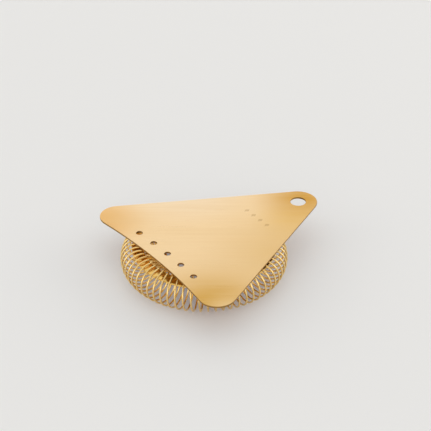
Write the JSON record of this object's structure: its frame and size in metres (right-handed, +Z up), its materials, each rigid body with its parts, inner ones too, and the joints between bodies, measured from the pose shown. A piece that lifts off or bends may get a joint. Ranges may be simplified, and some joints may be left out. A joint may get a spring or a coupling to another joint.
{
  "type": "bar strainer",
  "caption": "Three-cornered flat bar strainer with a row of pour holes, a hanging hole and an open coil spring ring threaded on a flat carrier under the plate.",
  "frame": {"origin": "where the axis of the spring ring meets the surface the strainer stands on", "axes": "+X along the centre line to the handle tip, +Y to the left when looking from the pour edge to the handle with +Z up, +Z up through the plate"},
  "size_m": [0.1112, 0.1044, 0.019],
  "materials": {
    "plate": "satin brushed, pale gold plated steel",
    "carrier": "polished, gold plated steel",
    "stud": "polished, gold plated steel",
    "wire": "bright drawn, gold plated spring wire"
  },
  "bodies": {
    "strainer": {"top_plate": "plate", "carrier_ring": "carrier", "stud_rear_left": "stud", "stud_rear_right": "stud", "stud_front_left": "stud", "stud_front_right": "stud"},
    "spring": {"coil_spring": "wire"}
  },
  "joints": [
    {"name": "spring_shift", "type": "slide", "parent": "strainer", "child": "spring", "axis": [1, 0, 0], "range_m": [-0.0012, 0.0012], "stiffness_N_per_m": 600}
  ]
}
